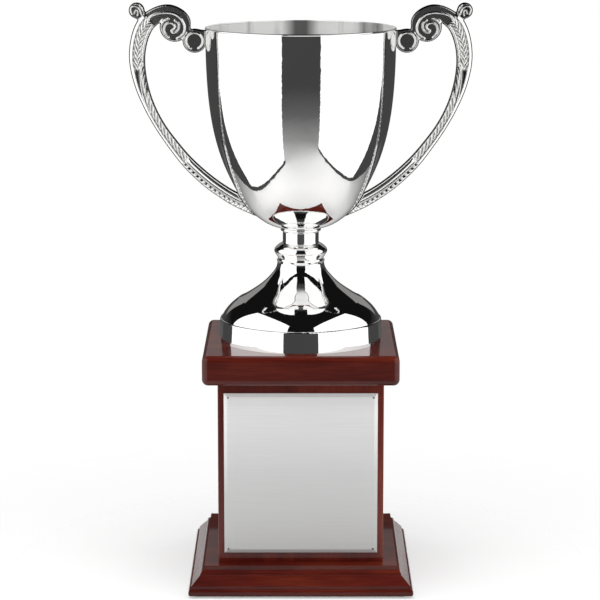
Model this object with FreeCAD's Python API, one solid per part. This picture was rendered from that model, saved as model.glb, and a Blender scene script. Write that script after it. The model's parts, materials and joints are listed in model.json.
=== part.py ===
import FreeCAD, Part
import math
import os

# Two-handled cup trophy on a square wooden plinth, in millimetres.
# +Z is up, the origin is the centre of the underside, the engraved front faces -Y
# and the handles lie along X.

V = FreeCAD.Vector

# ---------------------------------------------------------------- plinth sizes
felt_thickness = 1.2
felt_inset = 3.0

base_side = 145.0
base_thickness = 18.0
base_lip_height = 4.6
base_lip_radius = 1.8
base_lip_step = 0.6          # the lip stands this far out past the slope above it
base_slope_run = 6.8         # how far the slope leans in
base_slope_start = 1.2       # of that, the part just above the lip
base_shoulder_radius = 2.7
base_shoulder_swell = 1.5    # the shoulder's middle, out from the quirk
base_shoulder_drop = 0.54    # the shoulder's middle, below the quirk
base_quirk_height = 2.9      # upright fillet above the shoulder
base_access_radius = 16.0    # hole under the plinth nut
counterbore_spare = 1.0      # a base screw's head sits this far inside the board

column_side = 107.0
column_height = 118.8
column_edge_radius = 0.8
panel_thickness = 12.0
block_side = 16.0
fit_clearance = 0.15

top_plate_thickness = 9.0
cap_side = 126.4
cap_thickness = 19.3
cap_edge_radius = 3.8

plaque_side_margin = 3.95
plaque_end_margin = 6.4
plaque_thickness = 1.6
plaque_bevel_width = 2.3
plaque_bevel_depth = 0.9
pin_inset = 2.7              # from the plate's edges
pin_head_radius = 0.55
pin_shank_radius = 0.35
pin_head_proud = 0.15
pin_length = 7.0

# ------------------------------------------------------------------- cup sizes
foot_radius = 54.1
foot_band_top_radius = 53.2  # the band leans in slightly
foot_band_height = 13.1
foot_band_wall = 1.4
foot_step_height = 0.9
foot_step_inset = 0.9
bell_height = 39.5
bell_dome_radius = 41.0      # where the domed edge of the bell meets its flare
bell_dome_rise = 12.6
bell_top_radius = 14.6
bell_wall = 1.0
# Points on the bell as shares of the run inwards and of the rise.
bell_dome_middle = (0.33, 0.46)
bell_flare_points = [(0.341, 0.193), (0.614, 0.390), (0.814, 0.591), (0.949, 0.788)]

knop_radius = 17.4
knop_height = 10.0
knop_foot_radius = 14.8
knop_widest = 0.50           # share of the knop's height where it is widest
neck_radius = 11.8
neck_height = 8.0
neck_cove = 1.1              # hollow corner where the neck rises from the knop
neck_flare = 0.35            # how far the neck swells out under the collar
neck_flare_middle = (0.3, 0.7)
collar_radius = 13.2
collar_height = 2.0

bowl_radius = 62.0
bowl_height = 131.2
bowl_base_radius = 13.0
bowl_wall = 1.0
rim_bead_radius = 0.7

# Bowl wall from rim to base: share of the way down, share of the rim radius.
bowl_shape = [
    (0.25, 0.988),
    (0.45, 0.944),
    (0.65, 0.836),
    (0.80, 0.692),
    (0.90, 0.556),
    (0.955, 0.425),
    (0.985, 0.310),
]

# ---------------------------------------------------------------- handle sizes
handle_thickness = 6.4
handle_foot_rise = 17.2      # height above the bowl's base where the handle lands
handle_level_drop = 1.4      # level that the handles are laid out from, below the rim
roundel_drop = 7.4           # roundel centre below that level
lug_reach = 5.0              # block between the roundel and the bowl, out from the wall
lug_top_drop = 0.4
lug_height = 5.0
roundel_radius = 7.8
roundel_reach = 6.9          # roundel centre out from the bowl's wall
scroll_radius = 9.7
scroll_reach = 19.7
scroll_rise = 1.6
curl_radius = 5.1
curl_reach = 44.2
curl_rise = 12.1

# Handle band from its landing on the bowl upwards: outward bow from the straight
# line between its two joints, share of the way down that line, half width.
band_course = [
    (-8.0, 1.04, 5.0),
    (2.7, 0.995, 4.7),
    (11.4, 0.945, 4.4),
    (20.9, 0.872, 4.3),
    (30.3, 0.774, 4.0),
    (37.2, 0.672, 3.6),
    (43.1, 0.565, 3.35),
    (47.4, 0.448, 3.6),
    (49.5, 0.323, 4.35),
    (48.9, 0.192, 5.1),
    (45.0, 0.076, 5.5),
]
# The band's top, over the scroll: reach out from the bowl's wall, rise above the
# handles' level, half width.
arch_course = [
    (39.0, 2.4, 5.7),
    (32.0, 8.6, 5.3),
    (24.5, 11.3, 4.7),
    (18.0, 9.6, 4.4),
    (13.6, 5.8, 3.9),
    (12.2, 0.5, 2.8),
]

# --------------------------------------------------------------- fastener sizes
bolt_radius = 3.0
bolt_hole_clearance = 0.3
bolt_head_radius = 6.0
bolt_head_height = 3.2
bolt_spare_length = 6.0
nut_width = 10.0
nut_height = 5.0
washer_thickness = 1.6
washer_radius = 8.0
seal_thickness = 1.0
seal_radius = 8.5
wood_screw_radius = 1.75
wood_screw_head_radius = 3.6
wood_screw_head_height = 2.4
wood_screw_head_crown = 0.7  # flat top of the head, share of its radius
wood_screw_head_edge = 0.4   # height of the head's bevel from its underside, share
base_screw_length = 38.0
cap_screw_length = 22.0
cap_screw_gap = 1.0          # between a cap screw's head and the corner block
handle_screw_radius = 1.5
handle_screw_head_radius = 3.2
handle_screw_head_height = 1.5
handle_screw_head_crown = 0.7
handle_screw_seat = 0.3      # the head reaches this far into the bowl's sheet
handle_screw_length = 7.0

# ------------------------------------------------- heights up the whole trophy
base_z = felt_thickness
column_z = base_z + base_thickness
cap_z = column_z + column_height
foot_z = cap_z + cap_thickness
bell_z = foot_z + foot_band_height + foot_step_height
knop_z = bell_z + bell_height
neck_z = knop_z + knop_height
collar_z = neck_z + neck_height
bowl_z = collar_z + collar_height
rim_z = bowl_z + bowl_height
top_plate_z = cap_z - top_plate_thickness
column_half = column_side / 2
column_inner_half = column_half - panel_thickness
handle_z = rim_z - handle_level_drop
roundel_z = handle_z - roundel_drop


# ------------------------------------------------------------------ basic tools
def line(start, end):
    return Part.LineSegment(start, end).toShape()


def arc(start, middle, end):
    return Part.Arc(start, middle, end).toShape()


def spline(points, start_tangent=None, end_tangent=None):
    """A smooth curve through the points."""
    curve = Part.BSplineCurve()
    if start_tangent is None:
        curve.interpolate(points)
    else:
        curve.interpolate(Points=points, InitialTangent=start_tangent, FinalTangent=end_tangent)
    return curve


def polygon_face(points):
    return Part.Face(Part.makePolygon(points + points[:1]))


def revolve(edges):
    """A closed outline in the XZ plane turned about the Z axis."""
    face = Part.Face(Part.Wire(edges))
    return face.revolve(V(0, 0, 0), V(0, 0, 1), 360)


def revolve_polygon(outline):
    """Turns straight-sided (radius, height) points about the Z axis."""
    face = polygon_face([V(radius, 0, height) for radius, height in outline])
    return face.revolve(V(0, 0, 0), V(0, 0, 1), 360)


def tube(inner, outer, low, height):
    return revolve_polygon([(inner, low), (outer, low), (outer, low + height), (inner, low + height)])


def rod(radius, low, high):
    return Part.makeCylinder(radius, high - low, V(0, 0, low), V(0, 0, 1))


def centred_box(width, depth, height, low):
    return Part.makeBox(width, depth, height, V(-width / 2, -depth / 2, low))


def four_corners(offset):
    return [(x, y) for x in (-offset, offset) for y in (-offset, offset)]


def offset_points(curve, distance, count):
    """Points beside a curve in the XZ plane, on the side towards the Z axis."""
    points = []
    for step in range(count):
        share = step / (count - 1)
        parameter = curve.FirstParameter + share * (curve.LastParameter - curve.FirstParameter)
        tangent = curve.tangent(parameter)[0]
        side = V(tangent.z, 0, -tangent.x) * distance
        points.append(curve.value(parameter) + side)
    return points


def mitred_board(edges):
    """A square board whose four sides all carry the same upright outline."""
    reach = base_side
    along_y = Part.Face(Part.Wire(edges)).extrude(V(0, 2 * reach, 0))
    along_y.translate(V(0, -reach, 0))
    along_x = along_y.copy()
    along_x.rotate(V(0, 0, 0), V(0, 0, 1), 90)
    return along_y.common(along_x)


def save(name, shape):
    shape.exportStep("parts/" + name + ".step")


# ------------------------------------------------------------------ wood screws
def wood_screw(x, y, low, length):
    """Round-headed screw driven upwards, its head's underside at the height low."""
    point_length = 3 * wood_screw_radius
    outline = [
        (0, low - wood_screw_head_height),
        (wood_screw_head_radius * wood_screw_head_crown, low - wood_screw_head_height),
        (wood_screw_head_radius, low - wood_screw_head_height * wood_screw_head_edge),
        (wood_screw_head_radius, low),
        (wood_screw_radius, low),
        (wood_screw_radius, low + length - point_length),
        (0, low + length),
    ]
    screw = revolve_polygon(outline)
    screw.translate(V(x, y, 0))
    return screw


base_counterbore = wood_screw_head_height + counterbore_spare
block_centre = column_inner_half - block_side / 2
cap_screw_offset = column_inner_half - block_side - wood_screw_head_radius - cap_screw_gap


def make_base_screws():
    start = base_z + base_counterbore
    return Part.makeCompound(
        [wood_screw(x, y, start, base_screw_length) for x, y in four_corners(block_centre)]
    )


def make_cap_screws():
    return Part.makeCompound(
        [wood_screw(x, y, top_plate_z, cap_screw_length) for x, y in four_corners(cap_screw_offset)]
    )


# -------------------------------------------------------------- plinth woodwork
def base_outline():
    """Upright section through the whole base board, moulded on both edges."""
    lip = base_side / 2
    low = base_z
    lip_top = low + base_lip_height
    slope_out = lip - base_lip_step
    slope_in = slope_out - base_slope_run
    quirk = slope_in - base_shoulder_radius
    quirk_low = low + base_thickness - base_quirk_height
    shoulder_low = quirk_low - base_shoulder_radius
    round_off = base_lip_radius * (1 - math.sqrt(0.5))
    right = [
        V(lip - base_lip_radius, 0, low),
        V(lip - round_off, 0, low + round_off),
        V(lip, 0, low + base_lip_radius),
        V(lip, 0, lip_top - base_lip_radius),
        V(lip - round_off, 0, lip_top - round_off),
        V(lip - base_lip_radius, 0, lip_top),
        V(slope_out - base_slope_start, 0, lip_top + base_lip_radius),
        V(slope_in, 0, shoulder_low),
        V(quirk + base_shoulder_swell, 0, quirk_low - base_shoulder_drop),
        V(quirk, 0, quirk_low),
        V(quirk, 0, low + base_thickness),
    ]
    left = [V(-point.x, 0, point.z) for point in right]
    edges = [line(left[0], right[0]), line(right[-1], left[-1])]
    for side in (right, left):
        edges.append(arc(side[0], side[1], side[2]))
        edges.append(line(side[2], side[3]))
        edges.append(arc(side[3], side[4], side[5]))
        edges.append(line(side[5], side[6]))
        edges.append(line(side[6], side[7]))
        edges.append(arc(side[7], side[8], side[9]))
        edges.append(line(side[9], side[10]))
    return Part.__sortEdges__(edges)


def make_base_board():
    board = mitred_board(base_outline())
    board = board.cut(rod(base_access_radius, base_z - 1, column_z + 1))
    for x, y in four_corners(block_centre):
        counterbore = rod(wood_screw_head_radius + fit_clearance, base_z - 1, base_z + base_counterbore)
        counterbore.translate(V(x, y, 0))
        shank_hole = rod(wood_screw_radius + fit_clearance, base_z, column_z + 1)
        shank_hole.translate(V(x, y, 0))
        board = board.cut(counterbore).cut(shank_hole)
    return board


def make_felt_pad():
    side = base_side - 2 * base_lip_radius - 2 * felt_inset
    return centred_box(side, side, felt_thickness, 0)


def column_shell():
    outer = centred_box(column_side, column_side, column_height, column_z)
    upright = [edge for edge in outer.Edges if abs(edge.tangentAt(0).z) > 0.9]
    outer = outer.makeFillet(column_edge_radius, upright)
    hollow = centred_box(2 * column_inner_half, 2 * column_inner_half, column_height, column_z)
    return outer.cut(hollow)


def column_panel(quarter_turns):
    """One mitred side of the column; no turns gives the front."""
    reach = column_side
    wedge = polygon_face([V(0, 0, column_z), V(-reach, -reach, column_z), V(reach, -reach, column_z)])
    wedge = wedge.extrude(V(0, 0, column_height))
    wedge.rotate(V(0, 0, 0), V(0, 0, 1), 90 * quarter_turns)
    return column_shell().common(wedge)


def corner_block(x_side, y_side, base_screws):
    corner = column_inner_half
    low_x = min(x_side * corner, x_side * (corner - block_side))
    low_y = min(y_side * corner, y_side * (corner - block_side))
    block = Part.makeBox(block_side, block_side, top_plate_z - column_z, V(low_x, low_y, column_z))
    return block.cut(base_screws)


def make_top_plate():
    side = 2 * (column_inner_half - fit_clearance)
    plate = centred_box(side, side, top_plate_thickness, top_plate_z)
    plate = plate.cut(rod(bolt_radius + bolt_hole_clearance, top_plate_z - 1, cap_z + 1))
    for x, y in four_corners(cap_screw_offset):
        hole = rod(wood_screw_radius + fit_clearance, top_plate_z - 1, cap_z + 1)
        hole.translate(V(x, y, 0))
        plate = plate.cut(hole)
    return plate


def make_cap_board(cap_screws):
    board = centred_box(cap_side, cap_side, cap_thickness, cap_z)
    board = board.makeFillet(cap_edge_radius, board.Edges)
    board = board.cut(rod(bolt_radius + bolt_hole_clearance, cap_z - 1, foot_z + 1))
    return board.cut(cap_screws)


# ----------------------------------------------------------------------- plaque
plaque_width = column_side - 2 * plaque_side_margin
plaque_height = column_height - 2 * plaque_end_margin
plaque_centre_z = column_z + column_height / 2
plaque_front_y = -column_half - plaque_thickness


def plaque_rectangle(inset, y):
    half_width = plaque_width / 2 - inset
    half_height = plaque_height / 2 - inset
    low = plaque_centre_z - half_height
    high = plaque_centre_z + half_height
    corners = [
        V(-half_width, y, low),
        V(half_width, y, low),
        V(half_width, y, high),
        V(-half_width, y, high),
    ]
    return Part.makePolygon(corners + corners[:1])


def make_plaque(pins):
    bevel_y = plaque_front_y + plaque_bevel_depth
    back = Part.Face(plaque_rectangle(0, -column_half)).extrude(V(0, bevel_y + column_half, 0))
    bevelled = Part.makeLoft(
        [plaque_rectangle(0, bevel_y), plaque_rectangle(plaque_bevel_width, plaque_front_y)], True, True
    )
    return back.fuse(bevelled).removeSplitter().cut(pins)


def plaque_pin(x, z):
    head_y = plaque_front_y - pin_head_proud
    head_length = pin_head_proud + plaque_bevel_depth
    head = Part.makeCylinder(pin_head_radius, head_length, V(x, head_y, z), V(0, 1, 0))
    shank = Part.makeCylinder(pin_shank_radius, pin_length, V(x, head_y, z), V(0, 1, 0))
    return head.fuse(shank).removeSplitter()


def make_plaque_pins():
    x = plaque_width / 2 - pin_inset
    rise = plaque_height / 2 - pin_inset
    return Part.makeCompound(
        [
            plaque_pin(side * x, plaque_centre_z + level * rise)
            for side in (-1, 1)
            for level in (-1, 1)
        ]
    )


# ----------------------------------------------------------------- foot and stem
def make_foot_band():
    """Band that leans in slightly, its rounded shoulder turned in to carry the bell."""
    inner = foot_band_top_radius - foot_band_wall
    step = foot_band_top_radius - foot_step_inset
    seat = step - 2 * foot_band_wall
    band_top = foot_z + foot_band_height
    points = [
        V(inner, 0, foot_z),
        V(foot_radius, 0, foot_z),
        V(foot_band_top_radius, 0, band_top),
        V(step, 0, bell_z),
        V(seat, 0, bell_z),
        V(seat, 0, band_top),
        V(inner, 0, band_top),
    ]
    turn = math.sqrt(0.5)
    shoulder = V(step + turn * foot_step_inset, 0, band_top + turn * foot_step_height)
    edges = [line(a, b) for a, b in zip(points, points[1:] + points[:1])]
    edges[2] = arc(points[2], shoulder, points[3])
    return revolve(edges)


def bell_dome():
    """Domed edge of the bell, from the band inwards."""
    start = foot_band_top_radius - foot_step_inset
    run = start - bell_dome_radius
    share_in, share_up = bell_dome_middle
    points = [
        V(start, 0, bell_z),
        V(start - share_in * run, 0, bell_z + share_up * bell_dome_rise),
        V(bell_dome_radius, 0, bell_z + bell_dome_rise),
    ]
    return spline(points, V(-0.5, 0, 1), V(-1, 0, 0.72))


def bell_flare():
    """Hollow sweep of the bell from its domed edge up to the knop."""
    run = bell_dome_radius - bell_top_radius
    rise = bell_height - bell_dome_rise
    low = bell_z + bell_dome_rise
    points = [V(bell_dome_radius, 0, low)]
    for share_in, share_up in bell_flare_points:
        points.append(V(bell_dome_radius - share_in * run, 0, low + share_up * rise))
    points.append(V(bell_top_radius, 0, knop_z))
    return spline(points, V(-1, 0, 0.42), V(-0.35, 0, 1))


def make_foot_bell():
    """Thin spun shell, closed on top around the tie bolt."""
    hole = bolt_radius + bolt_hole_clearance
    dome = bell_dome()
    flare = bell_flare()
    inside = offset_points(dome, -bell_wall, 4)[:-1] + offset_points(flare, -bell_wall, 6)
    inside = [point for point in inside if point.z < knop_z - bell_wall]
    inside[0] = V(inside[0].x, 0, bell_z)
    under_top = V(inside[-1].x - 0.1, 0, knop_z - bell_wall)
    inner = spline(inside + [under_top])
    bottom_out = V(foot_band_top_radius - foot_step_inset, 0, bell_z)
    edges = [
        dome.toShape(),
        flare.toShape(),
        line(V(bell_top_radius, 0, knop_z), V(hole, 0, knop_z)),
        line(V(hole, 0, knop_z), V(hole, 0, knop_z - bell_wall)),
        line(V(hole, 0, knop_z - bell_wall), under_top),
        inner.toShape(),
        line(inside[0], bottom_out),
    ]
    return revolve(Part.__sortEdges__(edges))


def make_stem_knop():
    """Flattened ball that narrows to the neck above and to the bell below."""
    hole = bolt_radius + bolt_hole_clearance
    middle_z = knop_z + knop_widest * knop_height
    foot_out = V(knop_foot_radius, 0, knop_z)
    top_out = V(neck_radius + neck_cove, 0, neck_z)
    side = spline(
        [foot_out, V(knop_radius, 0, middle_z), top_out], V(0.45, 0, 1), V(-1, 0, 0.55)
    )
    edges = [
        side.toShape(),
        line(top_out, V(hole, 0, neck_z)),
        line(V(hole, 0, neck_z), V(hole, 0, knop_z)),
        line(V(hole, 0, knop_z), foot_out),
    ]
    return revolve(Part.__sortEdges__(edges))


def make_stem_neck():
    """Straight neck with a hollow corner at its foot and a slight swell under the collar."""
    hole = bolt_radius + bolt_hole_clearance
    flare_z = collar_z - 2 * neck_flare
    share_out, share_down = neck_flare_middle
    flare_middle = V(neck_radius + share_out * neck_flare, 0, collar_z - share_down * neck_flare)
    flare_end = V(neck_radius + neck_flare, 0, collar_z)
    corner = (1 - math.sqrt(0.5)) * neck_cove
    cove_out = V(neck_radius + neck_cove, 0, neck_z)
    cove_top = V(neck_radius, 0, neck_z + neck_cove)
    edges = [
        line(V(hole, 0, neck_z), cove_out),
        arc(cove_out, V(neck_radius + corner, 0, neck_z + corner), cove_top),
        line(cove_top, V(neck_radius, 0, flare_z)),
        arc(V(neck_radius, 0, flare_z), flare_middle, flare_end),
        line(flare_end, V(hole, 0, collar_z)),
        line(V(hole, 0, collar_z), V(hole, 0, neck_z)),
    ]
    return revolve(edges)


def make_bowl_collar():
    """Thin disc with a half-round edge between neck and bowl."""
    hole = bolt_radius + bolt_hole_clearance
    flat = collar_radius - collar_height / 2
    edges = [
        line(V(hole, 0, collar_z), V(flat, 0, collar_z)),
        arc(V(flat, 0, collar_z), V(collar_radius, 0, collar_z + collar_height / 2), V(flat, 0, bowl_z)),
        line(V(flat, 0, bowl_z), V(hole, 0, bowl_z)),
        line(V(hole, 0, bowl_z), V(hole, 0, collar_z)),
    ]
    return revolve(edges)


# ------------------------------------------------------------------------- bowl
wall_radius = bowl_radius - rim_bead_radius / 3


def bowl_curve():
    """Outside of the bowl wall from rim to base."""
    points = [V(wall_radius, 0, rim_z - rim_bead_radius)]
    for down, share in bowl_shape:
        points.append(V(wall_radius * share, 0, rim_z - down * bowl_height))
    points.append(V(bowl_base_radius, 0, bowl_z))
    return spline(points, V(0, 0, -1), V(-1, 0, -0.35))


def bowl_filled():
    """The bowl as one solid lump up to its rim, for trimming what is fixed to its outside."""
    top = rim_z - rim_bead_radius
    edges = [
        bowl_curve().toShape(),
        line(V(bowl_base_radius, 0, bowl_z), V(0, 0, bowl_z)),
        line(V(0, 0, bowl_z), V(0, 0, top)),
        line(V(0, 0, top), V(wall_radius, 0, top)),
    ]
    return revolve(Part.__sortEdges__(edges))


def rim_bead():
    return Part.makeTorus(bowl_radius - rim_bead_radius, rim_bead_radius, V(0, 0, rim_z - rim_bead_radius))


def bowl_shell():
    """Spun shell of even thickness with a rolled bead round its rim."""
    hole = bolt_radius + bolt_hole_clearance
    top = rim_z - rim_bead_radius
    outside = bowl_curve()
    floor_z = bowl_z + bowl_wall
    inside = [point for point in offset_points(outside, bowl_wall, 14) if point.z > floor_z]
    inside[0] = V(wall_radius - bowl_wall, 0, top)
    floor_edge = V(bowl_base_radius - bowl_wall, 0, floor_z)
    inner = spline(inside + [floor_edge])
    edges = [
        outside.toShape(),
        line(V(bowl_base_radius, 0, bowl_z), V(hole, 0, bowl_z)),
        line(V(hole, 0, bowl_z), V(hole, 0, floor_z)),
        line(V(hole, 0, floor_z), floor_edge),
        inner.toShape(),
        line(inside[0], V(wall_radius, 0, top)),
    ]
    shell = revolve(Part.__sortEdges__(edges))
    return shell.fuse(rim_bead())


def wall_joint(height):
    """The bowl's outside point and outward direction at a height, in the XZ plane."""
    curve = bowl_curve()
    above = curve.FirstParameter
    below = curve.LastParameter
    for halving in range(40):
        middle = (above + below) / 2
        if curve.value(middle).z > height:
            above = middle
        else:
            below = middle
    tangent = curve.tangent(above)[0]
    return curve.value(above), V(-tangent.z, 0, tangent.x)


# ---------------------------------------------------------------------- handles
def handle_screw(point, outward):
    """Low domed head inside the bowl, its shank running out into the handle."""
    start = point - outward * bowl_wall
    head_end = start - outward * handle_screw_head_height
    shank_start = start - outward * handle_screw_head_height / 2
    shank = Part.makeCylinder(handle_screw_radius, handle_screw_length, shank_start, outward)
    head = Part.makeCone(
        handle_screw_head_radius * handle_screw_head_crown,
        handle_screw_head_radius,
        handle_screw_head_height + handle_screw_seat,
        head_end,
        outward,
    )
    return head, shank


def handle_screw_places():
    top = V(wall_radius, 0, roundel_z), V(1, 0, 0)
    return [top, wall_joint(bowl_z + handle_foot_rise)]


def handle_station_points():
    landing = wall_joint(bowl_z + handle_foot_rise)[0]
    stations = []
    for bow, down, half_width in band_course:
        x = wall_radius + down * (landing.x - wall_radius) + bow
        z = handle_z + down * (landing.z - handle_z)
        stations.append((V(x, 0, z), half_width))
    for reach, rise, half_width in arch_course:
        stations.append((V(wall_radius + reach, 0, handle_z + rise), half_width))
    return stations


def handle_band():
    stations = handle_station_points()
    course = spline([point for point, half_width in stations])
    outer = []
    inner = []
    for point, half_width in stations:
        tangent = course.tangent(course.parameter(point))[0]
        side = V(tangent.z, 0, -tangent.x) * half_width
        outer.append(point + side)
        inner.append(point - side)
    edges = [
        spline(outer).toShape(),
        line(outer[-1], inner[-1]),
        spline(inner).toShape(),
        line(outer[0], inner[0]),
    ]
    face = Part.Face(Part.Wire(Part.__sortEdges__(edges)))
    band = face.extrude(V(0, handle_thickness, 0))
    band.translate(V(0, -handle_thickness / 2, 0))
    return band


def handle_disc(radius, reach, rise):
    start = V(wall_radius + reach, -handle_thickness / 2, handle_z + rise)
    return Part.makeCylinder(radius, handle_thickness, start, V(0, 1, 0))


def handle_lug():
    """Block that fills the corner between the roundel and the bowl under its rim."""
    start = V(wall_radius - bowl_wall, -handle_thickness / 2, handle_z - lug_top_drop - lug_height)
    return Part.makeBox(bowl_wall + lug_reach, handle_thickness, lug_height, start)


def make_handle():
    """The casting on the +X side."""
    casting = handle_band()
    casting = casting.fuse(handle_disc(scroll_radius, scroll_reach, scroll_rise))
    casting = casting.fuse(handle_disc(roundel_radius, roundel_reach, -roundel_drop))
    casting = casting.fuse(handle_disc(curl_radius, curl_reach, curl_rise))
    casting = casting.fuse(handle_lug())
    casting = casting.cut(bowl_filled()).cut(rim_bead())
    for point, outward in handle_screw_places():
        head, shank = handle_screw(point, outward)
        casting = casting.cut(shank)
    return casting.removeSplitter()


def mirrored(shape):
    return shape.mirror(V(0, 0, 0), V(1, 0, 0))


def make_bowl():
    bowl = bowl_shell()
    for point, outward in handle_screw_places():
        start = point - outward * 2 * bowl_wall
        hole = Part.makeCylinder(handle_screw_radius + fit_clearance, 4 * bowl_wall, start, outward)
        bowl = bowl.cut(hole).cut(mirrored(hole))
    return bowl


def make_handle_screws():
    screws = []
    for point, outward in handle_screw_places():
        head, shank = handle_screw(point, outward)
        screw = head.cut(bowl_shell()).fuse(shank)
        screws += [screw, mirrored(screw)]
    return Part.makeCompound(screws)


# --------------------------------------------------------------------- tie bolt
def hex_nut(high):
    """M6 nut whose top face is at the height high."""
    corner = nut_width / math.sqrt(3)
    points = [
        V(corner * math.cos(k * math.pi / 3), corner * math.sin(k * math.pi / 3), high - nut_height)
        for k in range(6)
    ]
    nut = polygon_face(points).extrude(V(0, 0, nut_height))
    return nut.cut(rod(bolt_radius, high - nut_height - 1, high + 1))


def washer(high):
    return tube(bolt_radius + bolt_hole_clearance, washer_radius, high - washer_thickness, washer_thickness)


seal_z = bowl_z + bowl_wall
bolt_head_z = seal_z + seal_thickness
foot_washer_top = knop_z - bell_wall
plinth_nut_top = top_plate_z - washer_thickness


def make_tie_bolt():
    """Round-headed bolt from inside the bowl down through the whole cup."""
    low = plinth_nut_top - nut_height - bolt_spare_length
    sphere_radius = (bolt_head_radius**2 + bolt_head_height**2) / (2 * bolt_head_height)
    top = V(0, 0, bolt_head_z + bolt_head_height)
    middle_rise = math.sqrt(sphere_radius**2 - bolt_head_radius**2 / 4) - sphere_radius
    head_middle = V(bolt_head_radius / 2, 0, top.z + middle_rise)
    edges = [
        line(V(0, 0, low), V(bolt_radius, 0, low)),
        line(V(bolt_radius, 0, low), V(bolt_radius, 0, bolt_head_z)),
        line(V(bolt_radius, 0, bolt_head_z), V(bolt_head_radius, 0, bolt_head_z)),
        arc(V(bolt_head_radius, 0, bolt_head_z), head_middle, top),
        line(top, V(0, 0, low)),
    ]
    return revolve(edges)


# -------------------------------------------------------------------- the pieces
def main():
    os.makedirs("parts", exist_ok=True)
    base_screws = make_base_screws()
    cap_screws = make_cap_screws()
    pins = make_plaque_pins()

    save("felt_pad", make_felt_pad())
    save("base_board", make_base_board())
    save("base_screws", base_screws)
    save("column_front", column_panel(0).cut(pins))
    save("column_right", column_panel(1))
    save("column_back", column_panel(2))
    save("column_left", column_panel(3))
    for number, (x_side, y_side) in enumerate(four_corners(1), start=1):
        save("corner_block_" + str(number), corner_block(x_side, y_side, base_screws))
    save("column_top_plate", make_top_plate())
    save("cap_screws", cap_screws)
    save("cap_board", make_cap_board(cap_screws))
    save("plaque", make_plaque(pins))
    save("plaque_pins", pins)

    save("foot_band", make_foot_band())
    save("foot_bell", make_foot_bell())
    save("stem_knop", make_stem_knop())
    save("stem_neck", make_stem_neck())
    save("bowl_collar", make_bowl_collar())
    save("bowl", make_bowl())

    handle = make_handle()
    save("handle_right", handle)
    save("handle_left", mirrored(handle))
    save("handle_screws", make_handle_screws())

    save("bowl_washer", tube(bolt_radius + bolt_hole_clearance, seal_radius, seal_z, seal_thickness))
    save("tie_bolt", make_tie_bolt())
    save("foot_washer", washer(foot_washer_top))
    save("foot_nut", hex_nut(foot_washer_top - washer_thickness))
    save("plinth_washer", washer(top_plate_z))
    save("plinth_nut", hex_nut(plinth_nut_top))


main()
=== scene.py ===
import json
import math

import bpy
import numpy as np
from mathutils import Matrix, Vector
from mathutils.geometry import delaunay_2d_cdt


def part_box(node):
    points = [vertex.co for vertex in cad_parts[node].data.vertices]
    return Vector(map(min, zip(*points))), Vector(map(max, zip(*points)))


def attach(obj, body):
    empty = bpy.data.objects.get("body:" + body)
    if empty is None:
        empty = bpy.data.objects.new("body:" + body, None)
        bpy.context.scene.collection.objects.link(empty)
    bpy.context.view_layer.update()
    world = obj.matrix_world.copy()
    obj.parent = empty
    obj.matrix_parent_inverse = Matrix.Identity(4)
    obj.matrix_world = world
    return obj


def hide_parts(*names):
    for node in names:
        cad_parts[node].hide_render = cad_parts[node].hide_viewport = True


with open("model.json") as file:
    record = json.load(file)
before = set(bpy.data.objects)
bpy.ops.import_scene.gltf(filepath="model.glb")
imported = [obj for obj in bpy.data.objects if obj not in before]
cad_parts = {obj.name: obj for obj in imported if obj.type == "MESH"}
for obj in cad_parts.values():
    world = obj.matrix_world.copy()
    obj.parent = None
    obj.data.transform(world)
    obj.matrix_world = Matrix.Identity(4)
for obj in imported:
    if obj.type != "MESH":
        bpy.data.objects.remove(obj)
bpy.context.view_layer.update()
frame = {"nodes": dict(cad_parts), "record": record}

# Plated two-handled cup on a mahogany plinth. Lengths are metres in the CAD frame;
# the carving of the handles is laid out in millimetres and scaled when it is meshed.

MM = 0.001
nodes = frame["nodes"]


# ------------------------------------------------------------------ node helpers
def new_material(name):
    material = bpy.data.materials.new(name)
    material.use_nodes = True
    tree = material.node_tree
    tree.nodes.clear()
    output = tree.nodes.new("ShaderNodeOutputMaterial")
    shader = tree.nodes.new("ShaderNodeBsdfPrincipled")
    tree.links.new(shader.outputs["BSDF"], output.inputs["Surface"])
    return material, tree, shader


def stretched_noise(tree, stretch, scale, detail=4.0, distortion=0.0):
    """Noise in object space, drawn out along an axis by a small number in stretch."""
    place = tree.nodes.new("ShaderNodeTexCoord")
    mapping = tree.nodes.new("ShaderNodeMapping")
    mapping.inputs["Scale"].default_value = stretch
    noise = tree.nodes.new("ShaderNodeTexNoise")
    noise.inputs["Scale"].default_value = scale
    noise.inputs["Detail"].default_value = detail
    noise.inputs["Distortion"].default_value = distortion
    tree.links.new(place.outputs["Object"], mapping.inputs["Vector"])
    tree.links.new(mapping.outputs["Vector"], noise.inputs["Vector"])
    return noise.outputs["Fac"]


def ramp(tree, value, stops):
    """A colour ramp with (position, linear colour) stops."""
    node = tree.nodes.new("ShaderNodeValToRGB")
    band = node.color_ramp
    while len(band.elements) < len(stops):
        band.elements.new(0.5)
    for element, (position, colour) in zip(band.elements, stops):
        element.position = position
        element.color = (*colour, 1.0)
    tree.links.new(value, node.inputs["Fac"])
    return node.outputs["Color"]


def remap(tree, value, low, high):
    node = tree.nodes.new("ShaderNodeMapRange")
    node.inputs["To Min"].default_value = low
    node.inputs["To Max"].default_value = high
    tree.links.new(value, node.inputs["Value"])
    return node.outputs["Result"]


def mix_colours(tree, share, first, second):
    node = tree.nodes.new("ShaderNodeMix")
    node.data_type = "RGBA"
    tree.links.new(share, node.inputs[0])
    tree.links.new(first, node.inputs[6])
    tree.links.new(second, node.inputs[7])
    return node.outputs[2]


def multiply_colours(tree, first, second):
    node = tree.nodes.new("ShaderNodeMix")
    node.data_type = "RGBA"
    node.blend_type = "MULTIPLY"
    node.inputs[0].default_value = 1.0
    tree.links.new(first, node.inputs[6])
    tree.links.new(second, node.inputs[7])
    return node.outputs[2]


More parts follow.
